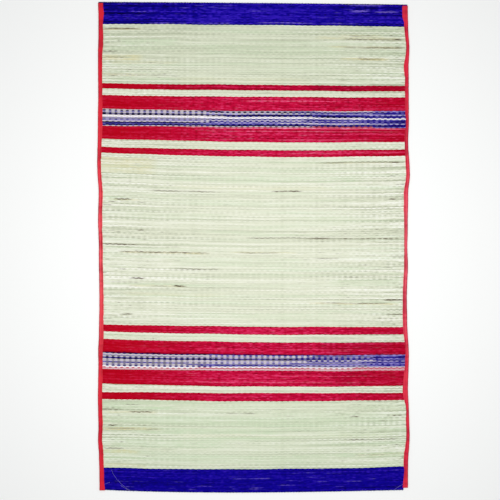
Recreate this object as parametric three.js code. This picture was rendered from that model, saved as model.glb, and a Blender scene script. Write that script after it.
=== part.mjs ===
// A grass mat lying flat: one sheet woven of stiff split sedge stalks that run across it, held by thin cotton
// threads that run along it, with a folded cotton tape sewn over each long side.
// Millimetres. X is across the mat, Y along it and Z up, with the floor at Z = 0 and the origin in the middle.

import * as THREE from 'three';

// Size of the mat
const HALF_WIDTH = 604.5; // from the middle to the mean line of a tape's outer edge
const PANEL_THICKNESS = 2.6; // the woven sheet, two stalks deep
const PRESSED_THICKNESS = 1.3; // the sheet where a tape squeezes it

// Shape of the folded tape
const TAPE_THICKNESS = 1.0; // cotton tape with its raw edge turned in, so two plies
const TAPE_CLEARANCE = 0.3; // room between the tape and the sheet inside it
const TAPE_HEIGHT = PRESSED_THICKNESS + 2 * (TAPE_THICKNESS + TAPE_CLEARANCE);
const UNDER_LEG = 13; // how far the tape reaches in under the mat
const EDGE_ROUNDING = 0.4; // the soft corner along the tape's upper edge
const BEND_STEPS = 4; // straight faces that make up the tape's round bend

// How the sheet goes into the tape
const EDGE_SETBACK = TAPE_HEIGHT / 2; // from the tape's outer edge to the edge of the sheet inside it
const PRESS_MARGIN = 1; // the sheet is already thin this far before the tape covers it
const RAMP_WIDTH = 5; // over this width the sheet goes from its full thickness to the pressed one
const LEAST_PRESSED_WIDTH = 1;

// Grid of the solids
const ROW_COUNT = 80; // rows along the mat, shared by the sheet and the tapes
const FIELD_STEPS = 6; // columns across the sheet's flat middle

// The two woven ends are nearly straight. At n = x / HALF_WIDTH an end lies at
// middle + tilt n + bow n^2 + twist n^3.
const TOP_END = { middle: 953.3, tilt: -5.3, bow: -1.2, twist: 0 };
const BOTTOM_END = { middle: -957.2, tilt: 3.1, bow: 10.7, twist: -3.6 };

// The tapes' outer edges wander, and so does the width of tape that shows. Each row is a turn of the edge:
// along is its place in Y, outward its distance past HALF_WIDTH, and shows the width of tape seen from above.
const LEFT_TAPE = {
  name: 'binding_left',
  side: -1,
  top: 954.5,
  bottom: -949.2,
  turns: [
    { along: 955, outward: 2.5, shows: 18 },
    { along: 912, outward: 0.8, shows: 19 },
    { along: 860, outward: 0.6, shows: 16 },
    { along: 808, outward: 0.9, shows: 19 },
    { along: 755, outward: 2.8, shows: 16 },
    { along: 667, outward: 2.2, shows: 15 },
    { along: 596, outward: 1.6, shows: 15 },
    { along: 490, outward: 3.1, shows: 16.5 },
    { along: 315, outward: 5.5, shows: 13.5 },
    { along: 210, outward: -0.2, shows: 14.5 },
    { along: 105, outward: 2.2, shows: 15 },
    { along: 0, outward: -0.8, shows: 14 },
    { along: -212, outward: -3, shows: 15 },
    { along: -352, outward: -0.8, shows: 17.5 },
    { along: -405, outward: 1.9, shows: 17 },
    { along: -458, outward: 1.2, shows: 15 },
    { along: -600, outward: 2.9, shows: 16 },
    { along: -703, outward: 0.4, shows: 15 },
    { along: -755, outward: 2.6, shows: 15.5 },
    { along: -809, outward: -1.2, shows: 16 },
    { along: -880, outward: -3.1, shows: 17 },
    { along: -950, outward: -3.5, shows: 19 },
  ],
};
const RIGHT_TAPE = {
  name: 'binding_right',
  side: 1,
  top: 943.4,
  bottom: -938.8,
  turns: [
    { along: 947, outward: -2.7, shows: 17 },
    { along: 913, outward: -2.3, shows: 19.5 },
    { along: 870, outward: -1.4, shows: 10.5 },
    { along: 773, outward: 3.5, shows: 8.5 },
    { along: 702, outward: 0, shows: 14.5 },
    { along: 667, outward: 0.8, shows: 10.5 },
    { along: 526, outward: 1.2, shows: 10 },
    { along: 491, outward: 2, shows: 7 },
    { along: 421, outward: -1.2, shows: 10 },
    { along: 280, outward: 5.5, shows: 10.5 },
    { along: 210, outward: -1.2, shows: 13 },
    { along: 70, outward: -3.1, shows: 9.5 },
    { along: 0, outward: -4.7, shows: 7.5 },
    { along: -71, outward: -2, shows: 11.5 },
    { along: -190, outward: -6.6, shows: 11.5 },
    { along: -282, outward: -5.3, shows: 13.5 },
    { along: -422, outward: 1.6, shows: 9.5 },
    { along: -563, outward: -2, shows: 16.5 },
    { along: -633, outward: 1.6, shows: 7 },
    { along: -739, outward: 4.7, shows: 10 },
    { along: -844, outward: -1.2, shows: 14 },
    { along: -879, outward: -2, shows: 10.5 },
    { along: -939, outward: -2, shows: 16.8 },
  ],
};

// At the lower right corner the sheet runs on bare past the tape, with its side drawn in
const BARE_CORNER = { start: -890, end: -947, drawnIn: 16 };

const STRAW = new THREE.Color(0xdddfc6);
const TAPE_RED = new THREE.Color(0xdc3a4a);

// A smooth step from 0 to 1 while t goes from 0 to 1
function ease(t) {
  const held = THREE.MathUtils.clamp(t, 0, 1);
  return held * held * (3 - 2 * held);
}

// A column of a tape's table at the place y: between two turns it eases from one value to the other
function turnValue(turns, column, y) {
  if (y >= turns[0].along) return turns[0][column];
  for (let i = 1; i < turns.length; i += 1) {
    const above = turns[i - 1];
    const below = turns[i];
    if (y >= below.along) {
      const t = (above.along - y) / (above.along - below.along);
      return THREE.MathUtils.lerp(above[column], below[column], ease(t));
    }
  }
  return turns[turns.length - 1][column];
}

// Where a woven end lies in Y at the place x across the mat
function endLine(end, x) {
  const n = x / HALF_WIDTH;
  return end.middle + end.tilt * n + end.bow * n ** 2 + end.twist * n ** 3;
}

// Where a row lies in Y at the place x. The rows go evenly from the bottom end to the top end.
function rowLine(row, x) {
  return THREE.MathUtils.lerp(endLine(BOTTOM_END, x), endLine(TOP_END, x), row / ROW_COUNT);
}

// One tape's outer edge and showing width on every row, as straight stretches from row to row
function tapeRows(tape) {
  const rows = [];
  for (let row = 0; row <= ROW_COUNT; row += 1) {
    const y = rowLine(row, tape.side * HALF_WIDTH);
    rows.push({
      y,
      outer: HALF_WIDTH + turnValue(tape.turns, 'outward', y),
      shows: turnValue(tape.turns, 'shows', y),
    });
  }
  return rows;
}

// The tape's outer edge and width at any y, on those straight stretches, and level past their ends
function tapeRowAt(rows, y) {
  const next = rows.findIndex((row) => row.y > y);
  if (next === 0) return { ...rows[0], y };
  if (next === -1) return { ...rows[rows.length - 1], y };
  const below = rows[next - 1];
  const above = rows[next];
  const t = (y - below.y) / (above.y - below.y);
  return {
    y,
    outer: THREE.MathUtils.lerp(below.outer, above.outer, t),
    shows: THREE.MathUtils.lerp(below.shows, above.shows, t),
  };
}

// A closed solid from rings of points, each ring one cross-section and all with the same number of points.
// Neighbouring rings are joined by triangles, and the first and last ring are filled flat.
function loft(rings) {
  const size = rings[0].length;
  const triangles = [];
  for (let ring = 0; ring + 1 < rings.length; ring += 1) {
    for (let i = 0; i < size; i += 1) {
      const near = ring * size + i;
      const nearNext = ring * size + ((i + 1) % size);
      triangles.push(near, near + size, nearNext);
      triangles.push(nearNext, near + size, nearNext + size);
    }
  }
  const last = (rings.length - 1) * size;
  const outline = rings[0].map((point) => new THREE.Vector2(point.x, point.z));
  const lastOutline = rings[rings.length - 1].map((point) => new THREE.Vector2(point.x, point.z));
  for (const [a, b, c] of THREE.ShapeUtils.triangulateShape(outline, [])) {
    triangles.push(a, b, c);
  }
  for (const [a, b, c] of THREE.ShapeUtils.triangulateShape(lastOutline, [])) {
    triangles.push(last + a, last + c, last + b);
  }
  const geometry = new THREE.BufferGeometry().setFromPoints(rings.flat());
  geometry.setIndex(triangles);
  geometry.computeVertexNormals();
  return geometry;
}

// A named mesh of one woven cloth
function clothMesh(name, geometry, color) {
  const material = new THREE.MeshStandardMaterial({ color, roughness: 0.85, metalness: 0 });
  const mesh = new THREE.Mesh(geometry, material);
  mesh.name = name;
  return mesh;
}

// A half circle around the middle of the tape's bend, as points (inward, z)
function bendPoints(radius, fromBelow) {
  const points = [];
  for (let step = 0; step <= BEND_STEPS; step += 1) {
    const share = fromBelow ? step / BEND_STEPS : 1 - step / BEND_STEPS;
    const angle = Math.PI * (share - 0.5);
    const inward = TAPE_HEIGHT / 2 - radius * Math.cos(angle);
    const height = TAPE_HEIGHT / 2 + radius * Math.sin(angle);
    points.push([inward, height]);
  }
  return points;
}

// The tape's section, a U lying on its side and open towards the mat: the lower leg on the floor, the round
// bend along the mat's edge and the upper leg on the sheet. Points are (inward from the outer edge, z).
function tapeSection(shows) {
  const outerRadius = TAPE_HEIGHT / 2;
  const innerRadius = outerRadius - TAPE_THICKNESS;
  return [
    [UNDER_LEG, 0],
    ...bendPoints(outerRadius, true),
    [shows - EDGE_ROUNDING, TAPE_HEIGHT],
    [shows, TAPE_HEIGHT - EDGE_ROUNDING],
    [shows, TAPE_HEIGHT - TAPE_THICKNESS],
    ...bendPoints(innerRadius, false),
    [UNDER_LEG, TAPE_THICKNESS],
  ];
}

// One folded tape, carried along its side of the mat between its two cut ends
function binding(tape, rows) {
  const between = rows.filter((row) => row.y > tape.bottom + 1 && row.y < tape.top - 1);
  const stations = [tapeRowAt(rows, tape.bottom), ...between, tapeRowAt(rows, tape.top)];
  const rings = stations.map(({ y, outer, shows }) => {
    const ring = tapeSection(shows).map(
      ([inward, height]) => new THREE.Vector3(tape.side * (outer - inward), y, height),
    );
    return tape.side > 0 ? ring : ring.reverse();
  });
  return clothMesh(tape.name, loft(rings), TAPE_RED);
}

// The sheet's columns on one side at one row, from its edge inwards, as (x from the middle, underside height)
function sideColumns(tape, tapeRow) {
  let edge = tapeRow.outer - EDGE_SETBACK;
  if (tape === RIGHT_TAPE) {
    const t = (BARE_CORNER.start - tapeRow.y) / (BARE_CORNER.start - BARE_CORNER.end);
    edge -= BARE_CORNER.drawnIn * ease(t);
  }
  const coverStart = tapeRow.outer - Math.max(tapeRow.shows, UNDER_LEG) - PRESS_MARGIN;
  const pressed = Math.min(coverStart, edge - LEAST_PRESSED_WIDTH);
  const lift = TAPE_THICKNESS + TAPE_CLEARANCE;
  return [
    [edge, lift],
    [pressed, lift],
    [pressed - RAMP_WIDTH, 0],
  ];
}

// The woven sheet: flat, with its underside rising over the tapes' lower legs along both long sides
function panel(leftRows, rightRows) {
  const rings = [];
  for (let row = 0; row <= ROW_COUNT; row += 1) {
    const left = sideColumns(LEFT_TAPE, leftRows[row]).map(([x, lift]) => [-x, lift]);
    const right = sideColumns(RIGHT_TAPE, rightRows[row]).reverse();
    const fieldStart = left[left.length - 1][0];
    const fieldEnd = right[0][0];
    const columns = [...left];
    for (let step = 1; step < FIELD_STEPS; step += 1) {
      columns.push([THREE.MathUtils.lerp(fieldStart, fieldEnd, step / FIELD_STEPS), 0]);
    }
    columns.push(...right);
    const underside = columns.map(([x, lift]) => new THREE.Vector3(x, rowLine(row, x), lift));
    const top = columns.map(([x]) => new THREE.Vector3(x, rowLine(row, x), PANEL_THICKNESS));
    rings.push([...underside, ...top.reverse()]);
  }
  return clothMesh('mat_panel', loft(rings), STRAW);
}

const leftRows = tapeRows(LEFT_TAPE);
const rightRows = tapeRows(RIGHT_TAPE);

const mat = new THREE.Group();
mat.add(panel(leftRows, rightRows));
mat.add(binding(LEFT_TAPE, leftRows));
mat.add(binding(RIGHT_TAPE, rightRows));

export default mat;
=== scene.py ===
import logging
import math
from dataclasses import dataclass, field
from enum import Enum

import bpy
import numpy as np
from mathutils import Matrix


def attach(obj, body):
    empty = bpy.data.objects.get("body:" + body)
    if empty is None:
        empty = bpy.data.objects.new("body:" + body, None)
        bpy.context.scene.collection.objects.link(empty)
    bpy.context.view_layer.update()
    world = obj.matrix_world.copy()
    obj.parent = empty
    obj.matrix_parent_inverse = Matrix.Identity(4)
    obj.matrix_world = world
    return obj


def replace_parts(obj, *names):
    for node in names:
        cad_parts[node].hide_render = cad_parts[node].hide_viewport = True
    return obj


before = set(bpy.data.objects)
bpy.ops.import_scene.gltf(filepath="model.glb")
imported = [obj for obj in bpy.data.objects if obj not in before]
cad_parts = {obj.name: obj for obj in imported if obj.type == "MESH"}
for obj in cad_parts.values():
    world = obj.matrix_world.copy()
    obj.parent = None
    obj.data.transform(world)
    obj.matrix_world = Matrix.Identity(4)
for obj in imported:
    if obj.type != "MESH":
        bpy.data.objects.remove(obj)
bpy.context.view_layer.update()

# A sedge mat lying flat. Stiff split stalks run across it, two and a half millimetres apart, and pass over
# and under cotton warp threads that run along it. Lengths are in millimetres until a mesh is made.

METRES = 0.001
SEED = 20405

# Sizes shared by the whole mat, in millimetres: a tape's upper leg lies above the first height, and its
# lower leg is as wide as the second
HALF_WIDTH = 604.5
STALK_PITCH = 2.5
WARP_PITCH = 11.2
WARPS_EACH_SIDE = 53
TAPE_HEIGHT = 3.9
UPPER_LEG = 2.45
UNDER_LEG = 13.0
EDGE_SETBACK = 1.95

# The plan that the threads' bake maps span, a little more than the mat's own
BAKE_PLAN = (1300.0, 2000.0)

# The empty border of a tape's bake map, whose outer half takes the end faces
BAKE_MARGIN = 0.01

# The period of Blender's wave texture at a scale of 1
WAVE_LENGTH = math.pi / 10

# Makes up for the spread that random drift loses between its knots
DRIFT_GAIN = 1.25

# How deep, in millimetres, a finish's relief is
BUMP_DEPTH = 0.2

log = logging.getLogger("mat")


class Dye(Enum):
    """How a band's stalks are dyed."""

    STRAW = "straw"
    CRIMSON = "crimson"
    BLUE = "blue"
    MIXED = "mixed"


@dataclass(frozen=True)
class Line:
    """A line across the mat: at n = x / HALF_WIDTH it lies at middle + tilt n + bow n^2 + twist n^3."""

    middle: float
    tilt: float
    bow: float
    twist: float = 0.0


@dataclass(frozen=True)
class Band:
    """One stripe of the weave.

    stalks is how many stalks it has, and end the line where it ends. tone, green and contrast are its own
    shift in tone, share of green cast and contrast from stalk to stalk. sides is how much darker a dyed band
    is at its left and its right.
    """

    name: str
    dye: Dye
    stalks: int
    end: Line
    tone: float = 0.0
    green: float = 0.0
    contrast: float = 1.0
    sides: tuple[float, float] = (0.5, 0.6)


TOP_LINE = Line(954.3, -5.3, -1.2)
BANDS = (
    Band("blue_top", Dye.BLUE, 34, Line(868.2, -5.0, -1.5), 0.45, 0.0, 0.85, (1.4, 1.2)),
    Band("straw_upper", Dye.STRAW, 94, Line(634.6, -5.1, 0.1), -0.5, 0.1, 1.1),
    Band("crimson_a", Dye.CRIMSON, 8, Line(613.1, -5.7, 1.4), -1.0),
    Band("gap_a", Dye.STRAW, 10, Line(588.1, -4.4, 1.4)),
    Band("crimson_b", Dye.CRIMSON, 21, Line(532.6, -4.2, 4.4)),
    Band("mixed_top", Dye.MIXED, 25, Line(469.6, -4.2, 1.0)),
    Band("crimson_c", Dye.CRIMSON, 23, Line(410.8, -6.6, 7.8), 0.1),
    Band("gap_b", Dye.STRAW, 13, Line(380.0, -5.3, 8.2)),
    Band("crimson_d", Dye.CRIMSON, 10, Line(353.6, -6.8, 10.7), -0.1),
    Band("field_upper", Dye.STRAW, 133, Line(22.2, -5.8, 7.0)),
    Band("field_lower", Dye.STRAW, 133, Line(-309.4, -4.7, 3.3)),
    Band("crimson_e", Dye.CRIMSON, 12, Line(-341.0, -6.1, 6.9), 0.15),
    Band("gap_c", Dye.STRAW, 13, Line(-370.8, -6.4, 7.1)),
    Band("crimson_f", Dye.CRIMSON, 20, Line(-420.9, -5.4, 6.5), -0.35),
    Band("mixed_bottom", Dye.MIXED, 24, Line(-481.4, -3.9, 2.6)),
    Band("crimson_g", Dye.CRIMSON, 25, Line(-544.5, -4.2, 8.6), -0.1),
    Band("gap_d", Dye.STRAW, 11, Line(-569.1, -1.4, 2.8)),
    Band("crimson_h", Dye.CRIMSON, 12, Line(-601.6, -2.3, 8.3), -0.2, sides=(1.0, 0.8)),
    Band("straw_lower", Dye.STRAW, 106, Line(-866.3, 2.4, 8.7), -0.12, 0.2, 1.25),
    Band("blue_bottom", Dye.BLUE, 36, Line(-957.9, 3.1, 10.7, -3.6), -0.1, 0.0, 0.5, (0.3, -0.1)),
)


@dataclass(frozen=True)
class Pick:
    """One stalk of a mixed band: its shares of blue, red and bleach, and its shift in tone."""

    blue: float = 0.0
    tone: float = 0.0
    red: float = 0.0
    white: float = 0.0


# The stalks of the mixed bands in weaving order, charted for four stretches from left to right, because
# stalks start and end part of the way across. The letters: N undyed, W bleached, L faint blue, P pale blue,
# D deep blue, B darkest blue, G greyed, R faint red, S stronger red.
PICKS = {
    "N": Pick(),
    "W": Pick(white=0.9),
    "L": Pick(blue=0.6, tone=1.6),
    "P": Pick(blue=0.95, tone=0.9),
    "D": Pick(blue=1.0, tone=-0.6),
    "B": Pick(blue=1.0, tone=-2.8),
    "G": Pick(blue=0.7, tone=-1.9),
    "R": Pick(red=0.5, white=0.3),
    "S": Pick(red=0.78),
}
MIXED_CHARTS = {
    "mixed_top": (
        "NBNPNBGBNWWNLGLPLNBBPPBDN",
        "GNBLNPBBDNWWLDLNDPLPDPBBN",
        "NLBDLPDBBBNWLDDLPDPNLDBBS",
        "PPDBDPLDBBBWWDBDPBDLDDBBP",
    ),
    "mixed_bottom": (
        "BNNLGNBPBNGNGPGNGNDWWSRR",
        "DNPNGLBPGNLNPNGPDPNWSSRR",
        "PGPLDGBPNDPLGDPLBLNWSRRR",
        "PPDBBDDPPLDDPDBDDLNSSRRS",
    ),
}
CHART_SWITCHES = (-190.0, 210.0, 450.0)


@dataclass(frozen=True)
class Streak:
    """A discoloured stretch of one or more stalks.

    along is its place along the mat, and start and end are its limits across it.
    """

    along: float
    start: float
    end: float
    strength: float
    stalks: int = 1


def streaks(*rows: tuple[float, ...]) -> tuple[Streak, ...]:
    """Makes a streak of each row of along, start, end, strength and, if above 1, number of stalks."""
    return tuple(Streak(*row) for row in rows)


BROWN_STREAKS = streaks(
    (-356, 150, 590, 0.13, 12), (623, 230, 600, 0.28, 8), (-396, 260, 600, 0.2, 20),
    (-512, 300, 600, 0.12, 24), (-419.6, -600, 600, 0.7, 2), (852, -586, -452, 0.65, 2),
    (765, -586, -540, 0.8, 2), (741, -586, -500, 0.42, 2), (675, -586, -310, 0.35),
    (823, 380, 465, 0.35, 2), (810, 359, 577, 0.5, 2), (810, 546, 577, 1.0, 2),
    (778, 360, 574, 0.5, 2), (778, 560, 572, 1.0, 2), (734, 410, 500, 0.57, 2),
    (331, 261, 590, 0.5, 2), (331, 520, 590, 0.8, 2), (218, -403, -129, 0.5, 2),
    (218, 78, 183, 0.73, 2), (187, -539, -481, 0.8, 2), (187, 535, 550, 1.0, 2),
    (66, -450, -430, 0.8, 2), (35, -12, 300, 0.5, 2), (33, 190, 560, 0.8, 1),
    (13, -586, -540, 1.0, 2), (10, -550, -457, 0.95, 2), (-22, -512, -188, 0.88, 2),
    (-24, -60, 90, 0.35, 2), (-87, -305, -145, 0.57, 2), (-85, -520, -505, 0.95, 2),
    (-122, -480, -430, 0.88, 2), (-135, -586, -440, 0.35, 1), (-153, -403, -340, 0.35, 2),
    (-153, -310, -270, 1.0, 2), (-46, 250, 330, 0.42, 2), (-208, 515, 590, 1.0, 2),
    (-219, 270, 520, 0.5, 2), (-262, 520, 590, 0.65, 2), (-262, -520, -475, 0.65, 2),
    (-633, -582, -520, 0.8, 2), (-643, -480, -400, 0.8, 2), (-650, -100, 0, 0.5, 2),
    (-657, 543, 589, 0.95, 2), (-662, 380, 410, 0.65, 2), (-697, -563, -543, 1.0, 2),
    (-709, -567, -371, 0.42, 2), (-754, 360, 554, 0.5, 2), (-750, 535, 552, 1.0, 2),
    (-786, -582, -510, 0.42, 2), (-811, 378, 574, 0.23, 2),
)
GOLD_STREAKS = streaks(
    (852, -586, -440, 0.5, 3), (741, -590, -440, 0.55, 9), (720, -560, -300, 0.2, 4),
    (675, -586, -420, 0.4, 3), (823, 340, 500, 0.35, 5), (815, 250, 577, 0.35, 5),
    (780, 300, 574, 0.35, 3), (734, 350, 520, 0.7, 4), (650, -300, 200, 0.15, 8),
    (318, -597, -390, 0.42, 24), (345, -590, -470, 0.3, 4), (331, 261, 590, 0.3, 3),
    (230, -300, 300, 0.15, 6), (187, -560, -450, 0.35, 3), (-22, -512, -188, 0.5, 3),
    (-22, -80, 160, 0.35, 3), (-150, -480, -270, 0.3, 3), (-185, -500, -120, 0.2, 5),
    (-219, 230, 560, 0.5, 3), (-643, -582, -383, 0.4, 3), (-709, -590, -371, 0.6, 4),
    (-740, -300, 500, 0.12, 6), (-797, -590, -450, 0.5, 5), (-850, -590, -420, 0.35, 5),
    (-811, 400, 590, 0.25, 5),
)
GREEN_STREAKS = streaks(
    (800, -520, -300, 0.4, 10), (770, -200, 350, 0.25, 14), (659, -535, -305, 0.5, 3),
    (265, -340, 430, 0.35, 9), (190, -590, -480, 0.5, 7), (120, -500, -100, 0.2, 10),
    (-60, -300, 200, 0.25, 14), (-140, 300, 580, 0.3, 10), (-270, -300, 300, 0.25, 10),
    (-625, -590, -300, 0.5, 5), (-680, -500, 560, 0.3, 14), (-720, -450, 100, 0.35, 9),
    (-811, 330, 590, 0.6, 6), (-770, -550, -100, 0.35, 12), (-830, -300, 300, 0.3, 12),
)
PALE_STREAKS = streaks(
    (466, -230, 590, 0.7), (921, -475, -390, 0.3), (921, 385, 445, 0.45, 2),
    (917, 480, 560, 0.3, 2), (944, 380, 500, 0.25, 2), (876, -400, -270, 0.55),
    (876, -240, -90, 0.3), (876, 20, 230, 0.35), (873, 290, 400, 0.25), (-903, -70, 60, 0.22),
    (-914, 360, 420, 0.2), (-930, 100, 160, 0.2), (571, -40, 330, 0.25), (452, -200, 560, 0.2),
    (419, 90, 500, 0.2), (369, 150, 560, 0.2), (-400, 120, 420, 0.15), (-505, 90, 470, 0.2),
    (-527, -250, 450, 0.2),
)


def to_linear(colour: str) -> tuple[float, float, float, float]:
    """Turns an sRGB hex colour into a linear one.

    Args:
        colour: six hex digits.

    Returns:
        Red, green, blue and an alpha of 1.
    """
    parts = [int(colour[i : i + 2], 16) / 255 for i in (0, 2, 4)]
    low = [p / 12.92 if p <= 0.04045 else ((p + 0.055) / 1.055) ** 2.4 for p in parts]
    return (*low, 1.0)


@dataclass
class Nodes:
    """A material's node tree, with one call that adds a node."""

    material: bpy.types.Material

    def add(self, kind: str, settings: dict | None = None, inputs: dict | None = None) -> bpy.types.Node:
        """Adds a node.

        Args:
            kind: Blender's name for the node type, without its Shader Node prefix.
            settings: properties of the node itself.
            inputs: input name or number to its value, or to the output socket that feeds it.

        Returns:
            The new node.
        """
        node = self.material.node_tree.nodes.new("ShaderNode" + kind)
        for key, value in (settings or {}).items():
            setattr(node, key, value)
        for key, value in (inputs or {}).items():
            if isinstance(value, bpy.types.NodeSocket):
                self.material.node_tree.links.new(value, node.inputs[key])
            else:
                node.inputs[key].default_value = value
        return node

    def finish(
        self,
        shader: bpy.types.Node,
        colour: bpy.types.NodeSocket,
        pattern: bpy.types.NodeSocket,
        shares: tuple[float, float],
        relief: float = 0.0,
    ) -> bpy.types.Material:
        """Varies the colour and the relief with a pattern, and links both to the shader.

        Args:
            shader: the Principled shader.
            colour: the colour.
            pattern: values from 0 to 1.
            shares: what the colour is multiplied by where the pattern is 0 and where it is 1.
            relief: strength of the bump.

        Returns:
            The finished material.
        """
        share = self.add("MapRange", None, {"Value": pattern, "To Min": shares[0], "To Max": shares[1]})
        varied = self.add("VectorMath", {"operation": "SCALE"}, {0: colour, "Scale": share.outputs[0]})
        links = self.material.node_tree.links
        links.new(varied.outputs[0], shader.inputs["Base Color"])
        if relief > 0:
            depth = BUMP_DEPTH * METRES
            bump = self.add("Bump", None, {"Height": pattern, "Strength": relief, "Distance": depth})
            links.new(bump.outputs[0], shader.inputs["Normal"])
        return self.material


def new_material(name: str, **values) -> tuple[Nodes, bpy.types.Node]:
    """Makes a material with one Principled shader.

    Args:
        name: the material's name.
        **values: input name of the shader, with spaces as underscores, to its value.

    Returns:
        The material's nodes and its shader.
    """
    material = bpy.data.materials.new(name)
    material.use_nodes = True
    material.node_tree.nodes.clear()
    nodes = Nodes(material)
    shader = nodes.add("BsdfPrincipled", None, {key.replace("_", " "): v for key, v in values.items()})
    nodes.add("OutputMaterial", None, {"Surface": shader.outputs[0]})
    return nodes, shader


@dataclass(frozen=True)
class StalkFinish:
    """Split sedge, sun dried and, in the bands, dyed in a hot bath before weaving.

    The eye gets nearly matt stalks with fine fibres along them, dark and pale ones side by side, and spots
    where a stalk was bruised. bruise, pale and second are the colours that the stalk attribute's green, blue
    and alpha channels mix in.
    """

    name: str
    dark: str
    middle: str
    light: str
    bruise: str
    pale: str
    second: str
    gloss: float = 0.1
    roughness: float = 0.62
    fibre_scale: tuple = (0.12, 8.0, 1.0)
    grain: tuple = (0.86, 1.14)
    relief: float = 0.35

    def material(self) -> bpy.types.Material:
        """Builds the material.

        The stalk attribute's red channel gives a place on a ramp from dark to light, and its other channels
        the shares of the three spot colours. Noise on the weave map, drawn out along the stalk with eight
        fibres to its width, adds grain and a slight relief.

        Returns:
            The finished material.
        """
        nodes, shader = new_material(
            self.name, Roughness=self.roughness, IOR=1.45, Specular_IOR_Level=self.gloss
        )
        stalk = nodes.add("Attribute", {"attribute_name": "stalk"})
        parts = nodes.add("SeparateColor", None, {"Color": stalk.outputs["Color"]})
        tone = nodes.add("ValToRGB", None, {"Fac": parts.outputs["Red"]})
        ramp = tone.color_ramp
        ramp.elements[0].color = to_linear(self.dark)
        ramp.elements[1].color = to_linear(self.light)
        ramp.elements.new(0.5).color = to_linear(self.middle)
        colour = tone.outputs[0]
        shares = (parts.outputs["Blue"], stalk.outputs["Alpha"], parts.outputs["Green"])
        for share, spot in zip(shares, (self.pale, self.second, self.bruise)):
            mix = nodes.add("Mix", {"data_type": "RGBA"}, {0: share, 6: colour, 7: to_linear(spot)})
            colour = mix.outputs[2]
        weave = nodes.add("UVMap", {"uv_map": "weave"})
        along = nodes.add("Mapping", None, {"Vector": weave.outputs[0], "Scale": self.fibre_scale})
        fibres = nodes.add("TexNoise", None, {"Vector": along.outputs[0], "Scale": 1.0, "Detail": 3.0})
        return nodes.finish(shader, colour, fibres.outputs[0], self.grain, self.relief)


@dataclass(frozen=True)
class ThreadFinish:
    """Spun cotton thread: matt and slightly fuzzy, with some of the colour of the stalks it lies in."""

    name: str
    roughness: float = 0.9
    ply_scale: float = 1800.0
    plies: tuple = (0.8, 1.15)

    def material(self) -> bpy.types.Material:
        """Builds the material: the thread attribute is the colour, and fine noise breaks it up as plies do.

        Returns:
            The finished material.
        """
        nodes, shader = new_material(self.name, Roughness=self.roughness, Specular_IOR_Level=0.1)
        colour = nodes.add("Attribute", {"attribute_name": "thread"})
        place = nodes.add("TexCoord").outputs["Object"]
        plies = nodes.add("TexNoise", None, {"Vector": place, "Scale": self.ply_scale, "Detail": 1.0})
        return nodes.finish(shader, colour.outputs["Color"], plies.outputs[0], self.plies)


@dataclass(frozen=True)
class TapeFinish:
    """Plain woven cotton tape, piece dyed red: matt, with a fine even weave.

    Painted shade darkens it along the fold and in the puckers' lows, and along the seams, where it stands for
    shade and dirt in the pressed seams together. It is lighter about the middle of its length.
    """

    name: str
    colour: str
    faded: str
    # shade is the colour that painted shade along the fold, the seams and the puckers' lows, and random
    # blotches, mix towards
    shade: str
    thread_pitch: float = 0.6
    waviness: float = 0.6
    blotch_scale: float = 0.05
    blotch_share: float = 0.5
    threads: tuple = (0.9, 1.12)
    relief: float = 0.4

    def material(self) -> bpy.types.Material:
        """Builds the material.

        The tape map runs in millimetres across and along the tape, so two waves at the thread pitch make the
        weave. Slow noise for random blotches and the attribute's red channel, which holds painted shade along
        the fold, the seams and in the puckers' lows, give the share of the shade colour, and its green
        channel the share of the faded colour, lighter about the middle of the tape's length.

        Returns:
            The finished material.
        """
        nodes, shader = new_material(self.name, Roughness=0.85, Specular_IOR_Level=0.12, Sheen_Weight=0.03)
        tape = nodes.add("UVMap", {"uv_map": "tape"}).outputs[0]
        wave = {"Vector": tape, "Scale": WAVE_LENGTH / self.thread_pitch, "Distortion": self.waviness}
        across, along = (nodes.add("TexWave", {"bands_direction": way}, wave).outputs[1] for way in "XY")
        weave = nodes.add("Math", {"operation": "MULTIPLY"}, {0: across, 1: along})
        slow = nodes.add("TexNoise", None, {"Vector": tape, "Scale": self.blotch_scale, "Detail": 3.0})
        # The attribute's red channel is painted shade along the fold, the seams and in the puckers' lows; its
        # green channel is the share of fading
        painted_shade_and_fade = nodes.add("Attribute", {"attribute_name": "painted_shade_and_fade"})
        shade, fading, _ = nodes.add("SeparateColor", None, {"Color": painted_shade_and_fade.outputs["Color"]}).outputs
        darker = nodes.add(
            "Math",
            {"operation": "MULTIPLY_ADD", "use_clamp": True},
            {0: slow.outputs[0], 1: self.blotch_share, 2: shade},
        )
        colour = to_linear(self.colour)
        for share, spot in ((fading, self.faded), (darker.outputs[0], self.shade)):
            mix = nodes.add("Mix", {"data_type": "RGBA"}, {0: share, 6: colour, 7: to_linear(spot)})
            colour = mix.outputs[2]
        return nodes.finish(shader, colour, weave.outputs[0], self.threads, self.relief)


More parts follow.
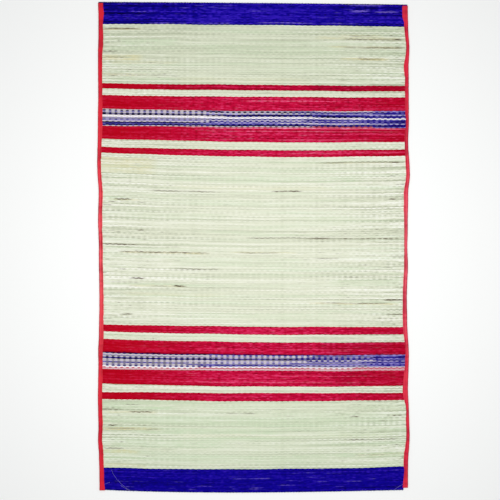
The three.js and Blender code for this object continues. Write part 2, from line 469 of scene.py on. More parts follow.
@dataclass
class Surface:
    """Points and faces of one mesh, in millimetres.

    corners maps a name to its values on the quads' corners and on the triangles' corners.
    """

    points: np.ndarray
    quads: np.ndarray
    triangles: np.ndarray = field(default_factory=lambda: np.zeros((0, 3), int))
    corners: dict = field(default_factory=dict)

    @staticmethod
    def joined(parts: list["Surface"]) -> "Surface":
        """Puts several surfaces into one, each keeping its own points.

        Args:
            parts: surfaces with the same names in corners.

        Returns:
            The one surface.
        """
        starts = np.cumsum([0] + [len(p.points) for p in parts[:-1]])
        corners = {}
        for name in parts[0].corners:
            on_quads = np.concatenate([p.corners[name][0] for p in parts])
            on_triangles = np.concatenate([p.corners[name][1] for p in parts])
            corners[name] = (on_quads, on_triangles)
        return Surface(
            np.concatenate([p.points for p in parts]),
            np.concatenate([p.quads + s for p, s in zip(parts, starts)]),
            np.concatenate([p.triangles + s for p, s in zip(parts, starts)]),
            corners,
        )

    def make(self, name: str, material: bpy.types.Material, slot: str) -> bpy.types.Object:
        """Makes the Blender object, smooth shaded, at the origin and riding on the root body.

        Args:
            name: the piece's name.
            material: its only material.
            slot: the record's material slot that it stands for; not used.

        Returns:
            The new object.
        """
        mesh = bpy.data.meshes.new(name)
        mesh.vertices.add(len(self.points))
        mesh.vertices.foreach_set("co", (self.points * METRES).astype(np.float32).ravel())
        loops = np.concatenate([self.quads.ravel(), self.triangles.ravel()]).astype(np.int32)
        mesh.loops.add(len(loops))
        mesh.loops.foreach_set("vertex_index", loops)
        sizes = np.concatenate([np.full(len(self.quads), 4), np.full(len(self.triangles), 3)])
        mesh.polygons.add(len(sizes))
        mesh.polygons.foreach_set("loop_start", (np.cumsum(sizes) - sizes).astype(np.int32))
        mesh.update(calc_edges=True)
        for key, (on_quads, on_triangles) in self.corners.items():
            width = on_quads.shape[-1]
            values = np.concatenate([on_quads.reshape(-1, width), on_triangles.reshape(-1, width)])
            values = values.astype(np.float32)
            if width == 2:
                mesh.uv_layers.new(name=key).data.foreach_set("uv", values.ravel())
            elif width == 1:
                mesh.attributes.new(key, "FLOAT", "CORNER").data.foreach_set("value", values.ravel())
            else:
                full = np.ones((len(values), 4), np.float32)
                full[:, :width] = values
                mesh.attributes.new(key, "FLOAT_COLOR", "CORNER").data.foreach_set("color", full.ravel())
        mesh.polygons.foreach_set("use_smooth", np.ones(len(sizes), bool))
        mesh.materials.append(material)
        piece = bpy.data.objects.new(name, mesh)
        bpy.context.scene.collection.objects.link(piece)
        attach(piece, "root")
        log.info("%s: %d points, %d faces", name, len(self.points), len(sizes))
        return piece


def grid_quads(numbers: np.ndarray, turn: bool = False) -> np.ndarray:
    """Joins the points of a grid with quads.

    Args:
        numbers: point numbers, row by row.
        turn: faces the other way.

    Returns:
        One line of four point numbers for each quad.
    """
    quads = np.stack([numbers[:-1, :-1], numbers[1:, :-1], numbers[1:, 1:], numbers[:-1, 1:]], -1)
    quads = quads.reshape(-1, 4)
    return quads[:, ::-1] if turn else quads


def closed(rings: np.ndarray) -> np.ndarray:
    """Repeats the first column of a grid after its last, so that each row closes to a ring."""
    return np.hstack([rings, rings[:, :1]])


def wall(
    fine: np.ndarray, coarse: np.ndarray, fine_at: np.ndarray, coarse_at: np.ndarray, turn: bool
) -> np.ndarray:
    """Fills the strip between two rows of points that run the same way with different spacing.

    Each stretch of the fine row makes a triangle with the coarse point nearest its middle. Each stretch of
    the coarse row makes one with the fine point where that nearest point changes.

    Args:
        fine: point numbers of the row with more points.
        coarse: point numbers of the other row.
        fine_at: increasing places of the fine points.
        coarse_at: increasing places of the coarse points.
        turn: faces the other way.

    Returns:
        One line of three point numbers for each triangle.
    """
    middles = (fine_at[:-1] + fine_at[1:]) / 2
    nearest = np.searchsorted((coarse_at[:-1] + coarse_at[1:]) / 2, middles)
    first = np.stack([fine[:-1], fine[1:], coarse[nearest]], -1)
    change = np.searchsorted(nearest, np.arange(len(coarse) - 1), side="right")
    second = np.stack([coarse[:-1], fine[change], coarse[1:]], -1)
    triangles = np.concatenate([first, second])
    return triangles[:, ::-1] if turn else triangles


def smooth_step(t: np.ndarray) -> np.ndarray:
    """Eases from 0 to 1 by 3 t^2 - 2 t^3."""
    return t * t * (3 - 2 * t)


def ramp(values: np.ndarray, span: tuple[float, float]) -> np.ndarray:
    """Rises in a straight line from 0 to 1 over the span, and is level on either side."""
    return np.clip((values - span[0]) / (span[1] - span[0]), 0, 1)


def bell(gap: np.ndarray) -> np.ndarray:
    """Falls from 1 at a gap of 0 to either side as e to the power of minus its square."""
    return np.exp(-gap * gap)


def drift(rng: np.random.Generator, rows: int, places: np.ndarray, spacing: float) -> np.ndarray:
    """Draws smooth random values along each row.

    Random values stand at knots one spacing apart, each row with its own shift, and a smooth step joins
    them.

    Args:
        rng: the random numbers.
        rows: how many rows.
        places: places along a row.
        spacing: the distance between knots.

    Returns:
        An array of rows by places, with a spread near 1.
    """
    span = places - places.min()
    knots = rng.normal(size=(rows, int(span.max() / spacing) + 3))
    t = span[None, :] / spacing + rng.random(rows)[:, None]
    k = t.astype(int)
    s = smooth_step(t - k)
    row = np.arange(rows)[:, None]
    return (knots[row, k] * (1 - s) + knots[row, k + 1] * s) * DRIFT_GAIN


@dataclass
class TapeLine:
    """The tape on one side as its CAD node has it: the outer edge and the width that shows, along the mat.

    lap is the soft edge's own spread over the weave, and spread the fold's roundness past the CAD edge.
    """

    node: str
    side: int
    lap: float = 0.0
    spread: float = 0.6
    along: np.ndarray = field(init=False)
    outer: np.ndarray = field(init=False)
    shows: np.ndarray = field(init=False)

    def __post_init__(self) -> None:
        """Reads the node's points.

        At each section the outer edge is the largest distance from the middle of the mat, and the width that
        shows is the distance from there to the inmost point of the upper leg.
        """
        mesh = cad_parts[self.node].data
        points = np.empty(len(mesh.vertices) * 3, np.float32)
        mesh.vertices.foreach_get("co", points)
        points = points.reshape(-1, 3).astype(float) / METRES
        key = np.round(points[:, 1], 1)
        self.along, section = np.unique(key, return_inverse=True)
        reach = points[:, 0] * self.side
        self.outer = np.full(len(self.along), -np.inf)
        np.maximum.at(self.outer, section, reach)
        upper = points[:, 2] > UPPER_LEG
        inmost = np.full(len(self.along), np.inf)
        np.minimum.at(inmost, section[upper], reach[upper])
        self.outer += self.spread
        self.shows = self.outer - inmost + self.lap

    def outer_at(self, y: np.ndarray) -> np.ndarray:
        """Gives the outer edge's distance from the middle at each place along the mat."""
        return np.interp(y, self.along, self.outer)

    def shows_at(self, y: np.ndarray) -> np.ndarray:
        """Gives the width that shows at each place along the mat."""
        return np.interp(y, self.along, self.shows)


@dataclass
class Loom:
    """Where every stalk and warp of the sheet lies.

    firsts holds the number of each band's first stalk, with the count of all stalks at its end. Each ripple
    is a wave's length in radians across the mat, its length from stalk to stalk, and its phase.
    """

    left: TapeLine
    right: TapeLine
    corner: tuple = (-890.0, -947.0)
    corner_drawn_in: float = 16.0
    ripple_height: float = 0.7 / 1.7
    ripples: tuple = ((61.0, 31.0, 0.0), (97.0, -23.0, 1.0), (33.0, 57.0, 4.0))
    calm_stalks: float = 12.0
    warp_wander: float = 0.5
    wander_length: float = 83.0
    wander_step: float = 2.3
    drawn_warps: tuple = (560.0, 600.0)
    plain_edge: float = 601.5
    firsts: np.ndarray = field(init=False)
    count: int = field(init=False)
    warps: np.ndarray = field(init=False)

    def __post_init__(self) -> None:
        """Counts the stalks before each band and numbers the warps from the middle one."""
        self.firsts = np.cumsum([0] + [band.stalks for band in BANDS])
        self.count = int(self.firsts[-1])
        self.warps = np.arange(-WARPS_EACH_SIDE, WARPS_EACH_SIDE + 1)

    def edge(self, side: int, y: np.ndarray) -> np.ndarray:
        """Gives the distance from the middle to the sheet's own edge inside a tape.

        On the right it is drawn in by a smooth step towards the lower corner.

        Args:
            side: -1 for the left, 1 for the right.
            y: places along the mat.

        Returns:
            One distance for each place.
        """
        if side < 0:
            return self.left.outer_at(y) - EDGE_SETBACK
        drawn_in = self.corner_drawn_in * smooth_step(ramp(y, self.corner))
        return self.right.outer_at(y) - EDGE_SETBACK - drawn_in

    def along(self, stalk: np.ndarray, x: np.ndarray) -> np.ndarray:
        """Gives the place along the mat of a stalk number at a place across it.

        Between two band lines it goes in even steps, and three slow waves of under a millimetre, fading out
        at the woven ends, make the stalks run unevenly.

        Args:
            stalk: stalk numbers, where 2.5 is the middle of stalk 2.
            x: places across, of a shape that broadcasts with stalk.

        Returns:
            Places along the mat.
        """
        stalk, x = np.broadcast_arrays(np.asarray(stalk, float), np.asarray(x, float))
        band = np.clip(np.searchsorted(self.firsts, stalk, side="right") - 1, 0, len(BANDS) - 1)
        lines = (TOP_LINE, *(b.end for b in BANDS))
        table = np.array([(line.middle, line.tilt, line.bow, line.twist) for line in lines])
        n = x / HALF_WIDTH
        powers = np.stack([np.ones_like(n), n, n**2, n**3], -1)
        start = (table[band] * powers).sum(-1)
        end = (table[band + 1] * powers).sum(-1)
        share = (stalk - self.firsts[band]) / (self.firsts[band + 1] - self.firsts[band])
        y = start + (end - start) * share
        waves = sum(np.sin(x / wide + stalk / deep + phase) for wide, deep, phase in self.ripples)
        calm = np.clip(np.minimum(stalk, self.count - stalk) / self.calm_stalks, 0, 1)
        return y + self.ripple_height * calm * waves

    def across(self, warp: np.ndarray, y: np.ndarray) -> np.ndarray:
        """Gives the place across the mat of a warp at a place along it.

        Warps stand in even steps with a little wander, and the outermost few are drawn along by the sheet's
        edge, by the square of how near they are.

        Args:
            warp: warp numbers.
            y: places along the mat, of a shape that broadcasts with warp.

        Returns:
            Places across the mat.
        """
        wave = np.sin(y / self.wander_length + warp * self.wander_step)
        x = warp * WARP_PITCH + self.warp_wander * wave
        near = ramp(np.abs(x), self.drawn_warps) ** 2
        edge = np.where(x < 0, self.edge(-1, y), self.edge(1, y))
        return x + np.sign(x) * near * (edge - self.plain_edge)

    def stalk_at(self, x: float, y: float) -> int:
        """Gives the number of the stalk that passes a point."""
        numbers = np.arange(self.count) + 0.5
        return int(np.argmin(np.abs(self.along(numbers, np.full(self.count, x)) - y)))


@dataclass
class StalkColours:
    """Tone and the three shares of every stalk at every warp, from random drift and the named streaks.

    The shares are bruise, pale and second. On straw, pale is a green cast and second a golden one. On
    crimson, pale is missed dye and second a purer red. In a mixed band, bruise is bleached, pale undyed and
    second red. drifts holds spreads and lengths. Pairs such as side_weights, purer and mixed_tones are for
    the left and the right, and a side's pair is where its change begins and ends.
    """

    loom: Loom
    whole_spread: float = 0.58
    drifts: tuple = ((0.5, 300.0), (0.24, 45.0))
    side_weights: tuple = (0.95, 1.12)
    middle_spread: float = 0.84
    side_spread: float = 0.75
    warp_spread: float = 0.08
    straw_speckle: float = 0.14
    side_speckle: float = 0.5
    dye_speckle: float = 1.1
    cast_share: float = 0.12
    cast_length: float = 300.0
    least_fade: float = 8.0
    fade_share: float = 0.12
    streak_level: float = 0.8
    streak_spread: float = 0.3
    streak_length: float = 26.0
    streak_limits: tuple = (0.15, 1.3)
    weakest_stalk: float = 0.55
    spot_length: float = 30.0
    spot_spread: float = 0.5
    spot_level: float = 2.4
    spot_limit: float = 0.5
    least_side: float = 0.3
    fleck_length: float = 40.0
    fleck_level: float = 1.9
    fleck_share: float = 0.12
    fleck_limit: float = 0.2
    left_side: tuple = (120.0, 520.0)
    right_side: tuple = (150.0, 600.0)
    edge_drop: float = 1.0
    purer: tuple = (0.75, 0.45)
    switch_spread: float = 40.0
    mixed_left: tuple = (250.0, 550.0)
    mixed_right: tuple = (60.0, 510.0)
    mixed_contrast: float = 0.6
    mixed_tones: tuple = (-0.3, 0.25)
    white_loss: float = 0.4
    red_gain: float = 0.15
    tone_loss: float = 0.62
    rng: np.random.Generator = field(init=False)
    x: np.ndarray = field(init=False)
    straw: np.ndarray = field(init=False)
    tone: np.ndarray = field(init=False)
    bruise: np.ndarray = field(init=False)
    pale: np.ndarray = field(init=False)
    second: np.ndarray = field(init=False)

    def __post_init__(self) -> None:
        """Draws the values for the whole mat at once, then suits them to each band."""
        self.rng = np.random.default_rng(SEED)
        self.x = self.loom.warps * WARP_PITCH
        self.straw = np.concatenate([np.full((band.stalks, 1), band.dye is Dye.STRAW) for band in BANDS])
        self.draw()
        for values, marks in (
            (self.bruise, BROWN_STREAKS),
            (self.second, GOLD_STREAKS),
            (self.pale, GREEN_STREAKS + PALE_STREAKS),
        ):
            for streak in marks:
                self.mark(values, streak)
        self.scatter()
        for number, band in enumerate(BANDS):
            self.suit(number, band)

    def draw(self) -> None:
        """Draws the tone and the green cast.

        Tone differs from stalk to stalk, drifts along each, more so towards the sides, and is speckled, much
        more in the dye. The cast drifts too and is shared by four neighbouring stalks.
        """
        rng, count, places = self.rng, self.loom.count, len(self.x)
        left, right = self.side_weights
        side = np.abs(self.x) / HALF_WIDTH * np.where(self.x > 0, right, left)
        tone = self.whole_spread * rng.normal(size=(count, 1))
        tone = tone + sum(spread * drift(rng, count, self.x, length) for spread, length in self.drifts)
        tone = tone * (self.middle_spread + self.side_spread * side**2)
        speckle = rng.normal(size=(count, places))
        self.tone = tone + self.warp_spread * rng.normal(size=(1, places))
        on_straw = self.straw_speckle + self.side_speckle * side**3
        self.tone += np.where(self.straw, on_straw, self.dye_speckle) * speckle
        cast = drift(rng, count, self.x, self.cast_length)
        cast = sum(np.roll(cast, shift, 0) for shift in range(4)) / 2
        self.pale = np.clip(self.cast_share * cast, 0, 1) * self.straw
        self.bruise = np.zeros_like(tone)
        self.second = np.zeros_like(tone)

    def mark(self, values: np.ndarray, streak: Streak) -> None:
        """Adds a streak, soft at its ends, uneven along its length and from stalk to stalk.

        Args:
            values: the share that it raises, stalks by warps.
            streak: the streak.
        """
        first = self.loom.stalk_at((streak.start + streak.end) / 2, streak.along) - streak.stalks // 2
        fade = self.least_fade + self.fade_share * (streak.end - streak.start)
        rise = np.clip((self.x - streak.start) / fade + 0.5, 0, 1)
        inside = rise * np.clip((streak.end - self.x) / fade + 0.5, 0, 1)
        uneven = self.streak_spread * drift(self.rng, streak.stalks, self.x, self.streak_length)
        uneven = np.clip(self.streak_level + uneven, *self.streak_limits)
        if streak.stalks > 2:
            weakest = self.weakest_stalk
            uneven *= weakest + (1 - weakest) * self.rng.random((streak.stalks, 1))
        rows = slice(first, first + streak.stalks)
        values[rows] = np.maximum(values[rows], np.clip(streak.strength * inside * uneven, 0, 1))

    def scatter(self) -> None:
        """Adds small random bruises, more of them towards the sides, and short pale stretches in the dye."""
        rng, count = self.rng, self.loom.count
        side = self.least_side + np.abs(self.x / HALF_WIDTH) ** 2
        spots = drift(rng, count, self.x, self.spot_length)
        spots = spots + self.spot_spread * rng.normal(size=(count, 1))
        small = np.clip((spots - self.spot_level) / 2, 0, self.spot_limit) * side
        self.bruise = np.maximum(self.bruise, small * self.straw)
        flecks = (drift(rng, count, self.x, self.fleck_length) - self.fleck_level) * self.fleck_share
        self.pale = np.maximum(self.pale, np.clip(flecks, 0, self.fleck_limit) * ~self.straw)

    def suit(self, number: int, band: Band) -> None:
        """Suits one band's stalks to its own tone and dye.

        A dyed band is darker at its sides and at its first and last stalk. Crimson is purer red at its sides.

        Args:
            number: the band's place in BANDS.
            band: the band.
        """
        first, last = self.loom.firsts[number : number + 2]
        rows = slice(first, last)
        left, right = ramp(-self.x, self.left_side), ramp(self.x, self.right_side)
        self.tone[rows] = self.tone[rows] * band.contrast + band.tone
        self.pale[rows] = np.clip(self.pale[rows] + band.green, 0, 1)
        if band.dye is Dye.MIXED:
            self.chart(band, rows)
        elif band.dye is not Dye.STRAW:
            self.tone[[first, last - 1]] -= self.edge_drop
            self.tone[rows] -= band.sides[0] * left + band.sides[1] * right
        if band.dye is Dye.CRIMSON:
            self.second[rows] = self.purer[0] * left + self.purer[1] * right**2

    def chart(self, band: Band, rows: slice) -> None:
        """Lays the stalks of a mixed band from its charts, each stalk changing over at its own place.

        Towards the right the blues draw together to one clear mid blue.

        Args:
            band: the band.
            rows: its stalks.
        """
        spread = self.switch_spread * self.rng.normal(size=(len(CHART_SWITCHES), band.stalks))
        switch = np.array(CHART_SWITCHES)[:, None] + spread
        stretch = (self.x > switch[:, :, None]).sum(0)
        stalk = np.arange(band.stalks)[:, None]
        picks = [[PICKS[letter] for letter in letters] for letters in MIXED_CHARTS[band.name]]
        table = np.array([[(p.blue, p.tone, p.red, p.white) for p in row] for row in picks])
        blue, tone, red, white = np.moveaxis(table[stretch, stalk], -1, 0)
        left, right = ramp(-self.x, self.mixed_left), ramp(self.x, self.mixed_right)
        self.pale[rows] = 1 - blue
        self.bruise[rows] = white * (1 - self.white_loss * right)
        self.second[rows] = red * (1 + self.red_gain * left)
        own = self.tone[rows] * self.mixed_contrast + tone * (1 - self.tone_loss * right)
        self.tone[rows] = own + self.mixed_tones[0] * left + self.mixed_tones[1] * right


@dataclass
class WeaveSheet:
    """The woven sheet. A band of it is a closed strip: stalk ridges on top, ribs underneath, and walls.

    Heights are above the floor. swing is how far, in stalks, a groove moves as it passes a warp. The parts
    of the bake map are where the top and the rest start in it, and how high they are.
    """

    loom: Loom
    colours: StalkColours
    over_height: float = 2.75
    under_height: float = 2.1
    groove_height: float = 1.75
    end_height: float = 1.5
    press_lift: float = 1.3
    under_groove: float = 0.6
    groove_swing: float = 0.3
    mixed_swing: float = 0.42
    swing_limit: float = 0.42
    bluntness: float = 1.8
    top_limit: float = 2.85
    column_offset: float = 0.33
    groove_spread: float = 0.11
    taper_spread: float = 0.1
    swell_spread: float = 0.09
    under_reach: int = 48
    under_step: int = 6
    press_margin: float = 1.0
    rise_margin: float = 7.0
    edge_gap: float = 0.5
    rise_gap: float = 3.0
    pressed_rib: float = 0.4
    end_lift: float = 0.2
    end_heights: tuple = (0.8, 1.4)
    bake_width: float = 1240.0
    bake_top: tuple = (0.01, 0.88)
    bake_rest: tuple = (0.91, 0.08)
    tone_step: float = 0.17
    hidden_tone: float = 0.42
    swing: np.ndarray = field(init=False)
    swell: np.ndarray = field(init=False)
    groove_shift: np.ndarray = field(init=False)
    groove_taper: np.ndarray = field(init=False)

    def __post_init__(self) -> None:
        """Draws each stalk's own thickness and taper."""
        rng = np.random.default_rng(SEED + 1)
        lines = self.loom.count + 1
        self.groove_shift = self.groove_spread * rng.normal(size=lines)
        self.groove_taper = self.taper_spread * rng.normal(size=lines)
        self.swell = self.swell_spread * rng.normal(size=self.loom.count)
        self.swing = np.full(lines, self.groove_swing)
        for number, band in enumerate(BANDS):
            if band.dye is Dye.MIXED:
                self.swing[self.loom.firsts[number] + 1 : self.loom.firsts[number + 1]] = self.mixed_swing

    def rows(self, first: int, last: int, warp: np.ndarray) -> tuple[np.ndarray, np.ndarray]:
        """Works out stalk coordinate and height for the rows of a band at some warps.

        Rows alternate between grooves and ridges. A stalk is over a warp where cos(pi (stalk + warp)) is 1
        and under it where it is -1. Its ridge rises and falls with that wave, and the groove beside it moves
        away from it, so that it is broad where it is over. In the mixed bands the wave is blunter, so that
        each dash of dyed stalk is nearly square.

        Args:
            first: the first stalk of the band.
            last: the stalk after its last.
            warp: warp numbers of the columns, not a number for a column at the sheet's edge.

        Returns:
            Stalk coordinates and heights, each rows by columns.
        """
        line = np.arange(first, last + 1)
        cosine = np.where(np.isnan(warp), 0, np.cos(np.pi * np.nan_to_num(warp)))[None, :]
        even = np.arcsin(cosine) * 2 / np.pi
        blunt = np.clip(self.bluntness * cosine, -1, 1)
        line_wave = np.where((self.swing[line] > self.groove_swing)[:, None], blunt, even)
        before = np.where(line % 2 == 0, -1, 1)[:, None] * line_wave
        shift = self.swing[line][:, None] * before + self.groove_shift[line][:, None]
        x = np.nan_to_num(warp)[None, :] * WARP_PITCH
        shift = shift + self.groove_taper[line][:, None] * x / HALF_WIDTH
        inside = ((line > 0) & (line < self.loom.count))[:, None]
        groove = line[:, None] + np.clip(shift, -self.swing_limit, self.swing_limit) * inside
        stalk = np.arange(first, last)
        over = np.where(stalk % 2 == 0, 1, -1)[:, None] * blunt
        middle = (self.under_height + self.over_height) / 2
        rise = (self.over_height - self.under_height) / 2
        ridge_height = middle + rise * over + self.swell[stalk][:, None]
        coordinate = np.empty((2 * (last - first) + 1, len(warp)))
        height = np.empty_like(coordinate)
        coordinate[0::2] = groove
        coordinate[1::2] = (groove[:-1] + groove[1:]) / 2
        height[0::2] = np.where(inside, self.groove_height, self.end_height)
        height[1::2] = np.minimum(ridge_height, self.top_limit)
        return coordinate, height

    def band(self, number: int) -> Surface:
        """Builds one band as a closed strip.

        Args:
            number: the band's place in BANDS.

        Returns:
            The strip with its stalk attribute and its weave and bake maps.
        """
        loom = self.loom
        first, last = loom.firsts[number : number + 2]
        mixed = BANDS[number].dye is Dye.MIXED
        steps = np.array([-self.column_offset, 0.0, self.column_offset] if mixed else [0.0])
        inner = (loom.warps[:, None] + steps[None, :]).ravel()
        warp = np.concatenate([[np.nan], inner, [np.nan]])
        coordinate, height = self.rows(first, last, warp)
        left_y = loom.along(coordinate[:, 0], -HALF_WIDTH)
        right_y = loom.along(coordinate[:, -1], HALF_WIDTH)
        guess = loom.along(coordinate, np.nan_to_num(warp)[None, :] * WARP_PITCH)
        x = loom.across(np.nan_to_num(warp)[None, :], guess)
        x[:, 0] = -loom.edge(-1, left_y)
        x[:, -1] = loom.edge(1, right_y)
        top = np.stack([x, loom.along(coordinate, x), height], -1)
        under = self.underside(coordinate, left_y, right_y)
        points = np.concatenate([top.reshape(-1, 3), under.reshape(-1, 3)])
        top_numbers, under_numbers = np.split(np.arange(len(points)), [x.size])
        top_numbers, under_numbers = top_numbers.reshape(len(x), -1), under_numbers.reshape(len(x), -1)
        quads = np.concatenate([
            grid_quads(top_numbers),
            grid_quads(under_numbers, turn=True),
            grid_quads(np.stack([top_numbers[:, 0], under_numbers[:, 0]])),
            grid_quads(np.stack([top_numbers[:, -1], under_numbers[:, -1]]), turn=True),
        ])
        triangles = np.concatenate([
            wall(top_numbers[0], under_numbers[0], x[0], under[0, :, 0], turn=False),
            wall(top_numbers[-1], under_numbers[-1], x[-1], under[-1, :, 0], turn=True),
        ])
        corners = self.corner_values(number, coordinate, x, under, quads, triangles)
        return Surface(points, quads, triangles, corners)

    def underside(self, coordinate: np.ndarray, left_y: np.ndarray, right_y: np.ndarray) -> np.ndarray:
        """Places the underside's points: ribs on the floor, rising over the tapes' lower legs at both sides.

        Args:
            coordinate: the top's stalk coordinates.
            left_y: places along the mat of its left edge.
            right_y: the same for its right edge.

        Returns:
            Points, rows by columns by three.
        """
        loom = self.loom
        outer_left, outer_right = loom.left.outer_at(left_y), loom.right.outer_at(right_y)
        edge_left, edge_right = loom.edge(-1, left_y), loom.edge(1, right_y)
        press, rise = UNDER_LEG + self.press_margin, UNDER_LEG + self.rise_margin
        pressed_right = np.minimum(outer_right - press, edge_right - self.edge_gap)
        rising_right = np.minimum(outer_right - rise, pressed_right - self.rise_gap)
        warp = np.arange(-self.under_reach, self.under_reach + 1, self.under_step)
        x = np.concatenate([
            np.stack([-edge_left, press - outer_left, rise - outer_left], -1),
            np.repeat(warp[None, :] * WARP_PITCH, len(left_y), 0),
            np.stack([rising_right, pressed_right, edge_right], -1),
        ], -1)
        lift = np.zeros(x.shape[1])
        lift[[0, 1, -2, -1]] = self.press_lift
        row = np.arange(len(coordinate))
        stalk = np.round(coordinate[0, 0]) + row / 2
        rib = np.where(row % 2 == 1, 0.0, self.under_groove)
        ends = (stalk == 0) | (stalk == loom.count)
        z = lift + rib[:, None] * np.where(lift > 0, self.pressed_rib, 1.0)
        z = np.where(ends[:, None], np.clip(z + self.end_lift, *self.end_heights), z)
        return np.stack([x, loom.along(stalk[:, None], x), z], -1)

    def corner_values(
        self,
        number: int,
        coordinate: np.ndarray,
        x: np.ndarray,
        under: np.ndarray,
        quads: np.ndarray,
        triangles: np.ndarray,
    ) -> dict:
        """Gives every face corner its stalk's tone and three shares, and its place on the two maps.

        The weave map counts in stalk widths both ways. The bake map lays the top in the lower nine tenths of
        the square and the rest above it. The underside and the walls get one dull tone.

        Args:
            number: the band's place in BANDS.
            coordinate: the top's stalk coordinates.
            x: the top's places across.
            under: the underside's points.
            quads: the faces with four corners, first the top's, then the others.
            triangles: the faces with three corners.

        Returns:
            Name to values on the quads' and on the triangles' corners.
        """
        colours = self.colours
        first, last = self.loom.firsts[number : number + 2]
        stalks = last - first
        channels = (0.5 + colours.tone * self.tone_step, colours.bruise, colours.pale, colours.second)
        values = np.stack([
            np.stack([np.interp(x[0], colours.x, line) for line in channel[first:last]])
            for channel in channels
        ], -1)
        values = np.repeat(np.clip(values, 0, 1), 2, 0)
        here, there = values[:, :-1], values[:, 1:]
        on_top = np.stack([here, here, there, there], 2).reshape(-1, 4, 4)
        dull = np.array([self.hidden_tone, 0.0, values[..., 2].mean(), 0.0])
        hidden = np.broadcast_to(dull, (len(quads) - len(on_top), 4, 4))
        across = np.concatenate([x.ravel(), under[..., 0].ravel()])
        under_line = np.repeat(np.arange(len(x)) / 2 + first, under.shape[1])
        down = np.concatenate([coordinate.ravel(), under_line])
        weave = np.stack([across / STALK_PITCH, down], -1)
        deep = (down - first) / stalks
        top = self.bake_top[0] + self.bake_top[1] * np.clip(deep, 0, 1)
        rest = self.bake_rest[0] + self.bake_rest[1] * deep
        is_top = np.arange(len(down)) < x.size
        bake = np.stack([0.5 + across / self.bake_width, np.where(is_top, top, rest)], -1)
        return {
            "weave": (weave[quads], weave[triangles]),
            "OFBake": (bake[quads], bake[triangles]),
            "stalk": (np.concatenate([on_top, hidden]), np.broadcast_to(dull, (len(triangles), 3, 4))),
        }


def tube(path: np.ndarray, radii: np.ndarray, sides: int) -> tuple[np.ndarray, np.ndarray, np.ndarray]:
    """Sweeps a circle along a path and closes both ends with a fan.

    Each ring stands square to the path: its points are path + r (cos a s + sin a u), where s is level and
    square to the path and u is square to both.

    Args:
        path: points along the middle, n by 3.
        radii: radius at each of them.
        sides: points of a ring.

    Returns:
        Points, quads and triangles.
    """
    run = np.gradient(path, axis=0)
    run /= np.linalg.norm(run, axis=1)[:, None]
    level = np.cross(run, [0.0, 0.0, 1.0])
    length = np.linalg.norm(level, axis=1)[:, None]
    level = np.where(length > 1e-6, level / np.maximum(length, 1e-6), [1.0, 0.0, 0.0])
    upright = np.cross(level, run)
    angle = np.arange(sides) * 2 * math.pi / sides
    cosine, sine = np.cos(angle)[None, :, None], np.sin(angle)[None, :, None]
    ring = cosine * level[:, None, :] + sine * upright[:, None, :]
    points = (path[:, None, :] + radii[:, None, None] * ring).reshape(-1, 3)
    numbers = np.arange(len(path) * sides).reshape(len(path), sides)
    ahead = np.roll(numbers, -1, 1)
    quads = np.roll(grid_quads(closed(numbers), turn=True), 1, 1)
    first, last = len(points), len(points) + 1
    points = np.concatenate([points, path[:1], path[-1:]])
    start = np.stack([ahead[0], numbers[0], np.full(sides, first)], -1)
    end = np.stack([numbers[-1], ahead[-1], np.full(sides, last)], -1)
    return points, quads, np.concatenate([start, end])


def thread_surface(
    points: np.ndarray, quads: np.ndarray, triangles: np.ndarray, colour: str | np.ndarray
) -> Surface:
    """Makes a surface of thread, laid on its bake map by its place on the mat's plan.

    Args:
        points: its points.
        quads: its faces with four corners.
        triangles: its faces with three corners.
        colour: sRGB hex colour of the whole, or linear colour of each point.

    Returns:
        The surface with its bake map and its thread attribute.
    """
    plan = 0.5 + points[:, :2] / BAKE_PLAN
    linear = to_linear(colour)[:3] if isinstance(colour, str) else colour
    shade = np.broadcast_to(linear, points.shape)
    return Surface(points, quads, triangles, {
        "OFBake": (plan[quads], plan[triangles]),
        "thread": (shade[quads], shade[triangles]),
    })


